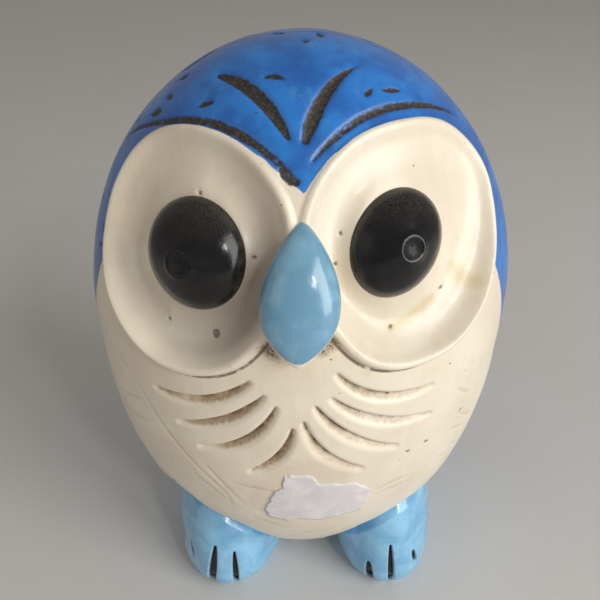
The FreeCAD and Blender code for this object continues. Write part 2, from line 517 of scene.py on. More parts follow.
def strokes_gap(points, outlines, seen_from, half_width, taper):
    """Distance outside a set of strokes in mm, negative inside."""
    gap = np.full(len(points), FAR)
    for outline in outlines:
        line = egg_at(stroke_line(outline), seen_from)
        gap = np.minimum(gap, stroke_field(points, line, half_width, taper))
    return gap


BACK_NICKS = 34
BACK_NICK_HALF_WIDTH = 0.5


def back_nicks(points):
    """Scattered short nicks over the back of the owl."""
    draw = np.random.default_rng(SEED + 1)
    gap = np.full(len(points), FAR)
    for _ in range(BACK_NICKS):
        middle = -heading(draw.uniform(-100.0, 100.0), draw.uniform(-65.0, 40.0))
        drift = np.cross(middle, unit(draw.normal(size=3))) * draw.uniform(0.010, 0.030)
        line = on_egg(unit(np.array([middle - drift, middle, middle + drift])))
        gap = np.minimum(gap, stroke_field(points, line, BACK_NICK_HALF_WIDTH, leaf_taper))
    return gap


def pit_gap(points):
    gap = np.full(len(points), FAR)
    for x, z, radius in PITS:
        distance = np.hypot(points[:, 0] - x, points[:, 2] - z) - radius
        gap = np.where(points[:, 1] < 0.0, np.minimum(gap, distance), gap)
    return gap


def foot_shares(height):
    """How much of its full width and length a foot keeps at a height."""
    level = np.minimum(np.abs(height) / FOOT_HEIGHT, FOOT_TOP_LEVEL)
    powers = (FOOT_SIDE_POWER, FOOT_DOME_POWER)
    return tuple((1.0 - level ** power) ** (1.0 / power) for power in powers)


def foot_distance(side, points):
    """Rough distance outside a foot in mm."""
    wide, long = foot_shares(points[:, 2])

    def share(places):
        x = np.abs((places[:, 0] - FOOT_X[side]) / FOOT_HALF_WIDTH[side]) / wide
        y = np.abs((places[:, 1] - FOOT_Y) / FOOT_HALF_LENGTH) / long
        return (x ** FOOT_PLAN_POWER + y ** FOOT_PLAN_POWER) ** (1.0 / FOOT_PLAN_POWER)

    step = 0.01
    here = share(points)
    slope = [(share(points + step * axis) - here) / step for axis in np.eye(3)[:2]]
    level = (here - 1.0) / np.maximum(np.linalg.norm(slope, axis=0), 0.02)
    return np.maximum(level, points[:, 2] - 0.9 * FOOT_HEIGHT)


def ankle_fillet(side, distance, points):
    """Extra thickness where the front of a foot and the belly run together."""
    fillet = ANKLE_BLEND / 4.0 * np.maximum(1.0 - np.abs(distance) / ANKLE_BLEND, 0.0) ** 2
    inner = 1.0 - smooth_step((side * points[:, 0] - 24.0) / 14.0)
    return fillet * np.maximum(inner * smooth_step(-points[:, 1] / 16.0), 0.15)


# Upper edge of the pale blue paint on the belly: heights at SOCK_OUTWARD mm from the middle.
SOCK_OUTWARD = (8.0, 11.5, 16.0, 20.0, 24.0, 29.0, 36.0)
SOCK_TOP = {
    -1: (25.0, 29.5, 34.0, 36.0, 37.5, 41.5, 47.0),
    1: (24.0, 27.0, 30.5, 31.5, 33.5, 35.5, 38.0),
}
SOCK_SLOPE = 0.75
SOCK_MIDDLE = 21.5
SOCK_HALF_WIDTH = 15.0
SOCK_BACK_Y = -14.0
SOCK_LAP = 1.5
SOCK_ROUNDING = 3.0
UNDERCUT_DEPTH = 5.0
UNDERCUT_SLOPE = 4.0
# Where the undercut fades in and out, in mm outward from the middle.
UNDERCUT_IN = (7.0, 11.0)
UNDERCUT_OUT = (33.0, 38.0)


def belly_edge(side, points):
    """Distance above the edge where the belly ends over the front of a foot, in mm."""
    top = np.interp(side * points[:, 0], SOCK_OUTWARD, SOCK_TOP[side])
    above = (points[:, 2] - top) * SOCK_SLOPE
    return np.maximum(above, points[:, 1] - SOCK_BACK_Y)


def undercut(side, points):
    """How far the underside of the belly is set back above the front of a foot, in mm."""
    outward = side * points[:, 0]
    lobe = fade(outward, *UNDERCUT_IN) * (1.0 - fade(outward, *UNDERCUT_OUT))
    return UNDERCUT_DEPTH * lobe * smooth_step(-belly_edge(side, points) / UNDERCUT_SLOPE)


def sock_gap(points):
    """Distance above the pale blue paint that laps from the feet onto the belly."""
    gap = np.full(len(points), FAR)
    for side in (-1, 1):
        within = np.abs(side * points[:, 0] - SOCK_MIDDLE) < SOCK_HALF_WIDTH
        front = np.where(within, belly_edge(side, points), FAR)
        around = foot_distance(side, points) - SOCK_LAP
        gap = np.minimum(gap, smooth_min(front, around, SOCK_ROUNDING))
    return gap


def body_form(direction):
    """Vertex places and paint masks of the whole body for unit directions from CORE."""
    plain = on_egg(direction)
    radius = egg_radius(direction)
    gaps = {side: dish_gap(side, direction) for side in (-1, 1)}
    nearest = np.minimum(gaps[-1], gaps[1])
    under = np.zeros(len(direction))
    dust = np.zeros(len(direction))
    for side in (-1, 1):
        close = np.flatnonzero(gaps[side] < 8.0)
        angle = dish_polar(side, direction[close])[1]
        gap = gaps[side][close]
        wall = 1.1 + 1.8 * np.maximum(np.cos(angle - math.radians(350.0)), 0.0) ** 2
        proud = egg_radius(direction[close]) + lip_height(angle) * smooth_step(0.5 - gap / wall)
        bowl = smooth_min(proud, dish_surface(side, direction[close]), LIP_ROUNDING)
        bowl = bowl + LIP_BEAD * np.exp(-((gap + LIP_CREST) / 0.95) ** 2)
        radius[close] = np.where(gap < gaps[-side][close], bowl, radius[close])
        below = np.maximum(np.cos(angle - math.radians(245.0)), 0.0)
        beside = np.maximum(np.cos(angle - math.radians(190.0)), 0.0) ** 2
        nearer = gap < gaps[-side][close]
        under[close] = np.where(nearer, below, under[close])
        # Dust and painted shade low in the dish, and painted shade beside the nose.
        dust_and_shade_share = DUST_AND_SHADE_BELOW[side] * below + PAINTED_SHADE_BY_NOSE[side] * beside
        dust[close] = np.where(nearer, dust_and_shade_share, dust[close])
    for side in (-1, 1):
        radius += ankle_fillet(side, np.maximum(foot_distance(side, plain), 0.0), plain)
        radius -= undercut(side, plain)
    brow = strokes_gap(plain, BROWS[:1], "above", 1.35, full_taper)
    brow = np.minimum(brow, strokes_gap(plain, BROWS[1:], "above", 1.4, drop_taper))
    border = strokes_gap(plain, BORDERS, "above", 0.85, full_taper)
    border = np.minimum(border, strokes_gap(plain, SMUDGES, "above", 1.15, leaf_taper))
    nick = strokes_gap(plain, NICKS, "above", 0.6, leaf_taper)
    nick = np.minimum(nick, strokes_gap(plain, WIDE_NICKS, "above", 1.0, leaf_taper))
    nick = np.minimum(nick, back_nicks(plain))
    groove = strokes_gap(plain, CRESCENTS, "front", 0.55, leaf_taper)
    scoop = strokes_gap(plain - [0.0, 0.0, -0.6], CRESCENTS, "front", 0.95, leaf_taper)
    scratch = strokes_gap(plain, SCRATCHES, "front", 0.3, leaf_taper)
    pit = pit_gap(plain)
    carvings = (
        (brow, 0.7, 1.5),
        (border, 0.35, 1.0),
        (nick, 0.4, 0.8),
        (groove, 0.8, 1.0),
        (scoop, 1.2, 2.3),
        (scratch, 0.3, 1.4),
        (pit, 0.4, 0.8),
    )
    for gap, depth, slope_width in carvings:
        radius -= depth * smooth_step(0.5 - gap / slope_width)
    radius += 0.13 * waves(plain, 24, 60.0, 12.0, SEED)
    masks = {
        "cream_gap": cream_gap(direction, plain),
        "sock_gap": sock_gap(plain),
        "ink_gap": np.minimum(brow, nick),
        "border_gap": border,
        "groove_gap": groove,
        "scoop_gap": scoop,
        "scratch_gap": scratch,
        "pit_gap": pit,
        "patina": 0.75 - 0.25 * smooth_step((plain[:, 0] + 4.0) / 8.0),
        # Dust and painted shade inside the dishes.
        "dust": dust,
        "dirt_gap": strokes_gap(plain, DIRT_PATCHES, "front", 1.3, leaf_taper),
        "glue_gap": strokes_gap(plain, GLUE, "front", 4.5, even_taper),
        "stain_gap": strokes_gap(plain, STAINS, "front", 1.4, even_taper),
        "shadow_gap": strokes_gap(plain, ANKLE_CREASE_SHADOWS, "front", 0.6, leaf_taper),
        "rim_gap": nearest,
        "under": under,
    }
    return CORE + direction * radius[:, None], masks


def cube_directions(count):
    """Unit directions of an even grid on a cube, its quads, each corner kept once."""
    steps = np.tan(np.linspace(-math.pi / 4, math.pi / 4, count + 1))
    first, second = np.meshgrid(steps, steps, indexing="ij")
    ones = np.ones_like(first)
    sheets = []
    for axis in range(3):
        for sign in (-1.0, 1.0):
            parts = [None, None, None]
            parts[axis] = sign * ones
            parts[(axis + 1) % 3] = first
            parts[(axis + 2) % 3] = second
            sheets.append((np.stack(parts, axis=-1).reshape(-1, 3), sign))
    corner = np.arange((count + 1) ** 2).reshape(count + 1, count + 1)
    quad = np.stack([corner[:-1, :-1], corner[1:, :-1], corner[1:, 1:], corner[:-1, 1:]], axis=-1)
    quad = quad.reshape(-1, 4)
    points = np.vstack([sheet for sheet, _ in sheets])
    quads = []
    for i, (_, sign) in enumerate(sheets):
        quads.append((quad if sign > 0 else quad[:, ::-1]) + i * len(sheets[0][0]))
    keys = np.round(points * 1e6).astype(np.int64)
    _, kept, where = np.unique(keys, axis=0, return_index=True, return_inverse=True)
    return unit(points[kept]), where.reshape(-1)[np.vstack(quads)]


def vertex_normals(points, quads):
    corners = points[quads]
    across = np.cross(corners[:, 2] - corners[:, 0], corners[:, 3] - corners[:, 1])
    normals = np.zeros_like(points)
    for i in range(4):
        np.add.at(normals, quads[:, i], across)
    return unit(normals)


def make_piece(name, points, faces, material, masks=None, normals=None):
    """A mesh object from points in mm. normals gives (vertex normals, how many faces use them)."""
    mesh = bpy.data.meshes.new(name)
    mesh.from_pydata((np.asarray(points) * MM).tolist(), [], [list(map(int, f)) for f in faces])
    mesh.polygons.foreach_set("use_smooth", [True] * len(mesh.polygons))
    for mask, values in (masks or {}).items():
        attribute = mesh.attributes.new(mask, "FLOAT", "POINT")
        attribute.data.foreach_set("value", np.asarray(values, np.float32))
    mesh.materials.append(material)
    mesh.update()
    if normals is not None:
        set_normals(mesh, *normals)
    piece = bpy.data.objects.new(name, mesh)
    bpy.context.scene.collection.objects.link(piece)
    return piece


def set_normals(mesh, normals, smooth_faces):
    """Shares the given normals along the shell's seam and keeps the hidden faces flat."""
    loops = np.zeros(len(mesh.loops), np.int32)
    mesh.loops.foreach_get("vertex_index", loops)
    flat = np.zeros(len(mesh.polygons) * 3, np.float32)
    mesh.polygons.foreach_get("normal", flat)
    totals = np.zeros(len(mesh.polygons), np.int32)
    mesh.polygons.foreach_get("loop_total", totals)
    per_loop = np.repeat(flat.reshape(-1, 3), totals, axis=0)
    outer = int(totals[:smooth_faces].sum())
    per_loop[:outer] = normals[loops[:outer]]
    mesh.normals_split_custom_set(per_loop.tolist())


def half_shell(name, towards, directions, quads, points, normals, masks, material):
    """Front (towards -1) or back half of the body, closed by its seam flange and inner wall."""
    centre_y = directions[quads].mean(axis=1)[:, 1]
    own = quads[centre_y * towards > 0]
    used = np.unique(own)
    renumber = np.full(len(points), -1)
    renumber[used] = np.arange(len(used))
    outer = renumber[own]
    edge = used[np.abs(directions[used, 1]) < 1e-9]
    edge = edge[np.argsort(np.arctan2(directions[edge, 2], directions[edge, 0]))]
    layers = [renumber[edge]]
    extra = []
    start = len(used)
    for ring in range(INNER_RINGS):
        turn = 0.5 * math.pi * ring / INNER_RINGS
        inward = directions[edge] * math.cos(turn)
        inward[:, 1] = towards * max(math.sin(turn), SEAM_CLEARANCE)
        extra.append(CORE + inward * (egg_radius(inward) - INNER_DEPTH)[:, None])
        layers.append(start + ring * len(edge) + np.arange(len(edge)))
    pole = np.array([[0.0, float(towards), 0.0]])
    extra.append(CORE + pole * (egg_radius(pole) - INNER_DEPTH)[:, None])
    pole_index = start + INNER_RINGS * len(edge)
    faces = [tuple(face) for face in outer]
    for upper, lower in zip(layers, layers[1:]):
        for i in range(len(edge)):
            j = (i + 1) % len(edge)
            face = (upper[i], upper[j], lower[j], lower[i])
            faces.append(face if towards < 0 else face[::-1])
    last = layers[-1]
    for i in range(len(edge)):
        face = (last[i], last[(i + 1) % len(edge)], pole_index)
        faces.append(face if towards < 0 else face[::-1])
    hidden = np.vstack(extra)
    everything = leaned(np.vstack([points[used], hidden]))
    full = {k: np.concatenate([v[used], np.full(len(hidden), FAR)]) for k, v in masks.items()}
    shared = np.vstack([normals[used], hidden])
    return make_piece(name, everything, faces, material, full, (shared, len(outer)))


# Materials --------------------------------------------------------------------------------


CREAM = (0.81, 0.74, 0.60)
CREAM_DEEP = (0.75, 0.66, 0.52)
CREAM_PALE = (0.86, 0.80, 0.67)
CREAM_AGED = (0.64, 0.53, 0.34)
# Colour of the dust and painted shade in the dishes.
CREAM_DUST_AND_SHADE = (0.38, 0.33, 0.28)
BLUE = (0.020, 0.200, 0.62)
BLUE_DEEP = (0.012, 0.115, 0.43)
BLUE_PALE = (0.07, 0.30, 0.64)
BLUE_DARK = (0.008, 0.050, 0.18)
BEAK_BLUE = (0.15, 0.33, 0.48)
BEAK_BLUE_PALE = (0.22, 0.44, 0.60)
SOCK_BLUE = (0.17, 0.42, 0.66)
SOCK_BLUE_PALE = (0.27, 0.56, 0.80)
INK = (0.020, 0.015, 0.011)
INK_RUBBED = (0.075, 0.058, 0.040)
UMBER = (0.11, 0.055, 0.025)
TAN = (0.27, 0.15, 0.06)
TAN_PALE = (0.45, 0.31, 0.16)
GLUE_PINK = (0.62, 0.46, 0.36)
STAIN_YELLOW = (0.62, 0.48, 0.20)


class Nodes:
    """A short way to write a shader: every call adds a node and returns an output socket."""

    def __init__(self, name):
        self.material = bpy.data.materials.new(name)
        self.material.use_nodes = True
        self.tree = self.material.node_tree
        self.shader = self.tree.nodes["Principled BSDF"]
        self.place = self.add("ShaderNodeTexCoord").outputs["Object"]

    def add(self, kind, **settings):
        node = self.tree.nodes.new(kind)
        for key, value in settings.items():
            setattr(node, key, value)
        return node

    def feed(self, socket, value):
        if isinstance(value, bpy.types.NodeSocket):
            self.tree.links.new(value, socket)
        elif isinstance(value, tuple) and len(value) == 3 and socket.type == "RGBA":
            socket.default_value = (*value, 1.0)
        else:
            socket.default_value = value

    def mask(self, name):
        return self.add("ShaderNodeAttribute", attribute_name=name).outputs["Fac"]

    def math(self, operation, first, second=0.0):
        node = self.add("ShaderNodeMath", operation=operation)
        self.feed(node.inputs[0], first)
        self.feed(node.inputs[1], second)
        return node.outputs[0]

    def noise(self, size, detail=4.0, stretch=(1.0, 1.0, 1.0), rough=0.55, twist=0.0):
        """Noise in 0..1 whose blotches are about size mm across."""
        mapping = self.add("ShaderNodeMapping")
        self.feed(mapping.inputs["Vector"], self.place)
        self.feed(mapping.inputs["Scale"], Vector(stretch))
        node = self.add("ShaderNodeTexNoise")
        self.feed(node.inputs["Vector"], mapping.outputs[0])
        self.feed(node.inputs["Scale"], 1.0 / (size * MM))
        self.feed(node.inputs["Detail"], detail)
        self.feed(node.inputs["Roughness"], rough)
        self.feed(node.inputs["Distortion"], twist)
        return node.outputs[0]

    def specks(self, size):
        """Distance to scattered points about size mm apart, 0 at each point."""
        node = self.add("ShaderNodeTexVoronoi")
        self.feed(node.inputs["Vector"], self.place)
        self.feed(node.inputs["Scale"], 1.0 / (size * MM))
        return node.outputs["Distance"]

    def ramp(self, value, low, high):
        """0 below low, 1 above high, smooth between; low may be above high."""
        node = self.add("ShaderNodeMapRange", interpolation_type="SMOOTHSTEP")
        self.feed(node.inputs["Value"], value)
        self.feed(node.inputs["From Min"], min(low, high))
        self.feed(node.inputs["From Max"], max(low, high))
        self.feed(node.inputs["To Min"], 0.0 if low < high else 1.0)
        self.feed(node.inputs["To Max"], 1.0 if low < high else 0.0)
        return node.outputs[0]

    def share(self, value, amount):
        return self.math("MULTIPLY", value, amount)

    def inside(self, gap, ragged, raggedness, softness, outside=False):
        """1 where a gap in mm is negative, with an edge that wanders by ragged noise."""
        wander = self.share(self.math("SUBTRACT", ragged, 0.5), raggedness)
        value = self.math("ADD", gap, wander)
        ends = (-softness, softness) if outside else (softness, -softness)
        return self.ramp(value, *ends)

    def mix(self, share, first, second):
        """Colour between first and second."""
        node = self.add("ShaderNodeMix", data_type="RGBA")
        self.feed(node.inputs[0], share)
        self.feed(node.inputs[6], first)
        self.feed(node.inputs[7], second)
        return node.outputs[2]

    def blend(self, share, first, second):
        """Number between first and second."""
        node = self.add("ShaderNodeMix", data_type="FLOAT")
        self.feed(node.inputs[0], share)
        self.feed(node.inputs[2], first)
        self.feed(node.inputs[3], second)
        return node.outputs[0]

    def finish(self, colour, roughness, height, bump_mm, coat=0.0, coat_roughness=0.1):
        self.feed(self.shader.inputs["Base Color"], colour)
        self.feed(self.shader.inputs["Roughness"], roughness)
        bump = self.add("ShaderNodeBump")
        self.feed(bump.inputs["Height"], height)
        self.feed(bump.inputs["Distance"], bump_mm * MM)
        self.feed(bump.inputs["Strength"], 1.0)
        self.feed(self.shader.inputs["Normal"], bump.outputs[0])
        if coat:
            self.shader.inputs["Coat Weight"].default_value = coat
            self.shader.inputs["Coat Roughness"].default_value = coat_roughness
        return self.material


def body_paint():
    """Cream and blue brush paint with dark carved marks, patina, dirt, chips and pinholes, and painted
    shade under the dish lips, in the dishes and at the right ankle.
    """
    n = Nodes("body_paint")
    fine = n.noise(0.8, 5.0)
    patchy = n.noise(6.0, 5.0)
    streak = n.noise(3.0, 5.0, (1.0, 1.0, 0.25), twist=0.4)

    cream = n.mix(n.ramp(n.noise(22.0, 3.0), 0.35, 0.65), CREAM, CREAM_DEEP)
    cream = n.mix(n.share(n.ramp(streak, 0.45, 0.75), 0.3), cream, CREAM_PALE)
    cream = n.mix(n.share(n.ramp(patchy, 0.60, 0.80), 0.45), cream, CREAM_AGED)

    blue = n.mix(n.ramp(n.noise(9.0, 6.0, twist=0.3), 0.35, 0.68), BLUE_DEEP, BLUE)
    blue = n.mix(n.share(n.ramp(n.noise(3.0, 6.0, (1.0, 0.5, 1.0)), 0.55, 0.80), 0.55), blue, BLUE_PALE)
    blue = n.mix(n.share(n.ramp(n.noise(1.2, 4.0), 0.60, 0.75), 0.3), blue, BLUE_DARK)

    is_blue = n.inside(n.mask("cream_gap"), patchy, 0.9, 0.12, outside=True)
    is_sock = n.inside(n.mask("sock_gap"), n.noise(2.5, 5.0), 1.6, 0.3)
    cloud = n.noise(7.0, 5.0, twist=0.5)
    sock = n.mix(n.ramp(cloud, 0.35, 0.68), SOCK_BLUE, SOCK_BLUE_PALE)
    colour = n.mix(is_sock, n.mix(is_blue, cream, blue), sock)

    worn = n.ramp(n.noise(2.2, 5.0), 0.27, 0.42)
    is_border = n.share(n.inside(n.mask("border_gap"), fine, 1.2, 0.25), worn)
    is_ink = n.math("MAXIMUM", n.inside(n.mask("ink_gap"), fine, 0.8, 0.18), is_border)
    halo = n.share(n.inside(n.mask("ink_gap"), fine, 1.5, 0.9), 0.45)
    colour = n.mix(halo, colour, BLUE_DARK)
    ink = n.mix(n.ramp(n.noise(0.6, 4.0), 0.45, 0.68), INK, INK_RUBBED)
    colour = n.mix(is_ink, colour, ink)

    grime = n.noise(3.5, 6.0)
    deep = n.share(n.inside(n.mask("groove_gap"), fine, 0.7, 0.35), 0.85)
    deep = n.share(deep, n.ramp(grime, 0.36, 0.58))
    broad = n.inside(n.mask("scoop_gap"), n.noise(1.6, 4.0), 0.9, 0.4)
    broad = n.share(broad, n.mask("patina"))
    broad = n.share(broad, n.ramp(n.noise(7.0, 4.0), 0.25, 0.50))
    colour = n.mix(broad, colour, n.mix(n.ramp(fine, 0.40, 0.65), TAN, TAN_PALE))
    colour = n.mix(deep, colour, UMBER)
    scratch = n.share(n.inside(n.mask("scratch_gap"), fine, 0.6, 0.4), 0.3)
    colour = n.mix(scratch, colour, TAN)

    # Brown dirt and painted shade in the crease under the lower lip of each dish.
    crease_dirt_and_shade = n.ramp(n.math("ABSOLUTE", n.math("SUBTRACT", n.mask("rim_gap"), 0.8)), 0.6, 0.15)
    crease_dirt_and_shade = n.share(crease_dirt_and_shade, n.ramp(n.mask("under"), 0.35, 0.8))
    crease_dirt_and_shade = n.share(crease_dirt_and_shade, n.ramp(n.noise(2.6, 6.0), 0.28, 0.48))
    corner = n.ramp(n.mask("rim_gap"), -0.6, 0.6)
    dots = n.ramp(n.noise(0.45, 2.0), 0.46, 0.58)
    powder = n.share(n.inside(n.mask("dirt_gap"), patchy, 2.0, 1.4), dots)
    powder = n.share(powder, corner)
    haze = n.share(n.inside(n.mask("dirt_gap"), patchy, 2.0, 1.0), 0.55)
    haze = n.share(haze, corner)
    # Dirt by the beak together with the dirt and painted shade under the dish lips.
    dirt_and_shade = n.math("MAXIMUM", crease_dirt_and_shade, powder)
    colour = n.mix(haze, colour, TAN)
    colour = n.mix(n.share(dirt_and_shade, 0.85), colour, UMBER)
    stain = n.share(n.inside(n.mask("stain_gap"), patchy, 4.0, 1.5), 0.6)
    colour = n.mix(stain, colour, STAIN_YELLOW)
    # Painted shadow: black in the crease where the belly meets the owl's right foot.
    colour = n.mix(n.inside(n.mask("shadow_gap"), fine, 0.6, 0.2), colour, INK)
    # Dust and painted shade: greyish dark cream low in the dishes and beside the nose of the owl's right
    # dish.
    settled_dust_and_shade = n.share(n.mask("dust"), n.ramp(n.mask("rim_gap"), -1.5, -5.0))
    colour = n.mix(settled_dust_and_shade, colour, CREAM_DUST_AND_SHADE)
    glue = n.share(n.inside(n.mask("glue_gap"), patchy, 5.0, 1.5), 0.35)
    colour = n.mix(glue, colour, GLUE_PINK)

    on_rim = n.ramp(n.math("ABSOLUTE", n.math("ADD", n.mask("rim_gap"), 1.0)), 1.6, 0.6)
    chips = n.share(on_rim, n.ramp(n.noise(1.3, 6.0), 0.69, 0.73))
    pinholes = n.ramp(n.math("ADD", n.specks(6.0), n.share(fine, 0.08)), 0.082, 0.060)
    pits = n.inside(n.mask("pit_gap"), fine, 0.5, 0.15)
    marks = n.math("MAXIMUM", n.math("MAXIMUM", chips, pinholes), pits)
    colour = n.mix(n.share(marks, 0.7), colour, UMBER)

    roughness = n.blend(is_blue, 0.36, 0.30)
    roughness = n.blend(is_sock, roughness, 0.2)
    roughness = n.blend(is_ink, roughness, 0.62)
    roughness = n.blend(n.math("MAXIMUM", dirt_and_shade, haze), roughness, 0.7)
    roughness = n.math("ADD", roughness, n.share(n.math("SUBTRACT", patchy, 0.5), 0.2))

    height = n.math("ADD", n.share(streak, 0.6), n.share(fine, 0.25))
    height = n.math("SUBTRACT", height, n.share(marks, 1.2))
    height = n.math("SUBTRACT", height, n.share(is_ink, fine))
    return n.finish(colour, roughness, height, 0.16, coat=0.25, coat_roughness=0.2)


def eye_black():
    """Black gloss with grey dust settled on the upper part, and a lighter grey rim that is partly wear and
    partly a painted reflection of the cream dish.
    """
    n = Nodes("eye_black")
    fine = n.noise(0.3, 5.0)
    dust = n.share(n.ramp(n.mask("upward"), 0.15, 1.1), n.ramp(fine, 0.35, 0.70))
    colour = n.mix(n.ramp(n.noise(4.0, 4.0), 0.4, 0.7), (0.004, 0.004, 0.005), (0.009, 0.0085, 0.0085))
    colour = n.mix(n.share(dust, 0.42), colour, (0.13, 0.115, 0.095))
    # Lighter grey rim: partly wear, partly a painted reflection of the cream dish.
    worn = n.share(n.ramp(n.mask("edge_gap"), 2.2, 0.6), n.ramp(n.noise(5.0, 4.0), 0.42, 0.60))
    colour = n.mix(n.share(worn, 0.5), colour, (0.065, 0.065, 0.055))
    colour = n.mix(n.inside(n.mask("edge_gap"), fine, 0.9, 0.25), colour, (0.030, 0.018, 0.010))
    roughness = n.math("ADD", n.blend(dust, 0.16, 0.5), n.share(n.noise(3.0, 4.0), 0.10))
    roughness = n.blend(n.ramp(n.mask("pupil_gap"), 0.2, -0.4), roughness, 0.6)
    n.shader.inputs["Specular IOR Level"].default_value = 0.32
    return n.finish(colour, roughness, n.noise(2.0, 4.0), 0.06, coat=0.15, coat_roughness=0.06)


def pale_blue(name, deep, pale):
    """Glossy light blue enamel, dusty in places, with a cream paint line, dark cuts and a painted highlight
    along the edges of the cuts.
    """
    n = Nodes(name)
    cloud = n.noise(7.0, 5.0, twist=0.5)
    fine = n.noise(0.8, 4.0)
    colour = n.mix(n.ramp(cloud, 0.35, 0.68), deep, pale)
    colour = n.mix(n.share(n.ramp(n.noise(2.0, 5.0), 0.60, 0.78), 0.35), colour, (0.10, 0.17, 0.20))
    colour = n.mix(n.inside(n.mask("edge_gap"), n.noise(1.5, 5.0), 0.5, 0.1), colour, CREAM)
    # Painted highlight: pale cream along the edges of the toe cuts.
    cut_edge_highlight = n.share(n.inside(n.mask("slot_gap"), n.noise(1.5, 4.0), 1.2, 0.8), 0.4)
    colour = n.mix(cut_edge_highlight, colour, CREAM_PALE)
    slot = n.inside(n.mask("slot_gap"), fine, 0.4, 0.15)
    colour = n.mix(slot, colour, INK)
    chips = n.share(n.ramp(n.mask("floor_gap"), 3.0, 0.8), n.ramp(n.noise(1.6, 5.0), 0.62, 0.67))
    colour = n.mix(n.share(chips, 0.8), colour, (0.16, 0.13, 0.10))
    roughness = n.math("ADD", n.share(cloud, 0.15), 0.14)
    roughness = n.blend(n.math("MAXIMUM", slot, chips), roughness, 0.7)
    height = n.math("ADD", n.noise(3.0, 3.0), n.share(n.noise(0.6, 4.0), 0.12))
    return n.finish(colour, roughness, height, 0.12, coat=0.4, coat_roughness=0.14)


def torn_paper():
    n = Nodes("label_paper")
    fibre = n.noise(0.7, 6.0, (1.0, 1.0, 3.0))
    colour = n.mix(n.ramp(n.noise(5.0, 5.0), 0.35, 0.65), (0.77, 0.75, 0.75), (0.67, 0.65, 0.67))
    colour = n.mix(n.share(n.ramp(fibre, 0.55, 0.75), 0.5), colour, (0.78, 0.74, 0.68))
    return n.finish(colour, 0.8, fibre, 0.12)


def floor_paper():
    n = Nodes("floor_paper")
    colour = n.mix(n.noise(40.0, 3.0), (0.64, 0.63, 0.61), (0.68, 0.67, 0.65))
    return n.finish(colour, 0.7, n.noise(2.0, 4.0), 0.05)


# Other pieces ----------------------------------------------------------------------------


def grid_faces(rows, columns, closed=True):
    """Quads of a grid whose columns run around, row by row."""
    faces = []
    for row in range(rows - 1):
        for column in range(columns if closed else columns - 1):
            after = (column + 1) % columns
            faces.append((row * columns + column, row * columns + after,
                          (row + 1) * columns + after, (row + 1) * columns + column))
    return faces


def fan(tip, ring, around, turned=False):
    """Triangles from a tip to the closed ring of points that starts at ring."""
    pairs = [(ring + i, ring + (i + 1) % around) for i in range(around)]
    return [(tip, after, here) if turned else (tip, here, after) for here, after in pairs]


def eye_piece(side, material):
    """Oval dome with a faint moulded ring and boss at the pupil, closed behind."""
    long_axis, short_axis, drop = EYES[side][3:6]
    plane = EYE_PLANES[side]
    around = 160
    shares = np.sin(np.linspace(0.0, 1.0, 90) * math.pi / 2)[1:]
    angles = np.linspace(0.0, 2.0 * math.pi, around, endpoint=False)
    share, angle = np.meshgrid(shares, angles, indexing="ij")
    along = long_axis * share * np.cos(angle)
    across = short_axis * share * np.sin(angle)
    tilt = math.radians(EYE_TILT)
    outward = along * math.cos(tilt) - across * math.sin(tilt)
    upward = along * math.sin(tilt) + across * math.cos(tilt)
    height = EYE_DOME * (1.0 - share ** 2.2) ** 0.6
    pupil = np.hypot(outward, upward + drop)
    height = height + PUPIL_RING * np.exp(-((pupil - PUPIL_RADIUS) / PUPIL_RING_WIDTH) ** 2)
    height = height + PUPIL_BOSS_HEIGHT * np.exp(-(pupil / PUPIL_BOSS_WIDTH) ** 2)
    height = height - PUPIL_DIMPLE_DEPTH * np.exp(-(pupil / PUPIL_DIMPLE_WIDTH) ** 3)
    front = plane.point(outward, upward, height).reshape(-1, 3)
    top = plane.point(0.0, 0.0, EYE_DOME)[None, :]
    back = plane.point(0.97 * outward[-1], 0.97 * upward[-1], np.full(around, -EYE_SINK))
    behind = plane.point(0.0, 0.0, -EYE_SINK)[None, :]
    points = np.vstack([front, back, top, behind])
    rows = len(shares) + 1
    faces = grid_faces(rows, around)
    apex = rows * around
    faces += fan(apex, 0, around, turned=True) + fan(apex + 1, apex - around, around)
    spare = np.zeros(around + 2)
    masks = {
        "upward": np.concatenate([(upward / long_axis).reshape(-1), spare]),
        "edge_gap": np.concatenate([height.reshape(-1), spare]) - 0.8,
        "pupil_gap": np.concatenate([(pupil - PUPIL_RADIUS + 0.5).reshape(-1), spare + 9.0]),
    }
    name = "left_eye" if side > 0 else "right_eye"
    return make_piece(name + "_dome", leaned(points), faces, material, masks)


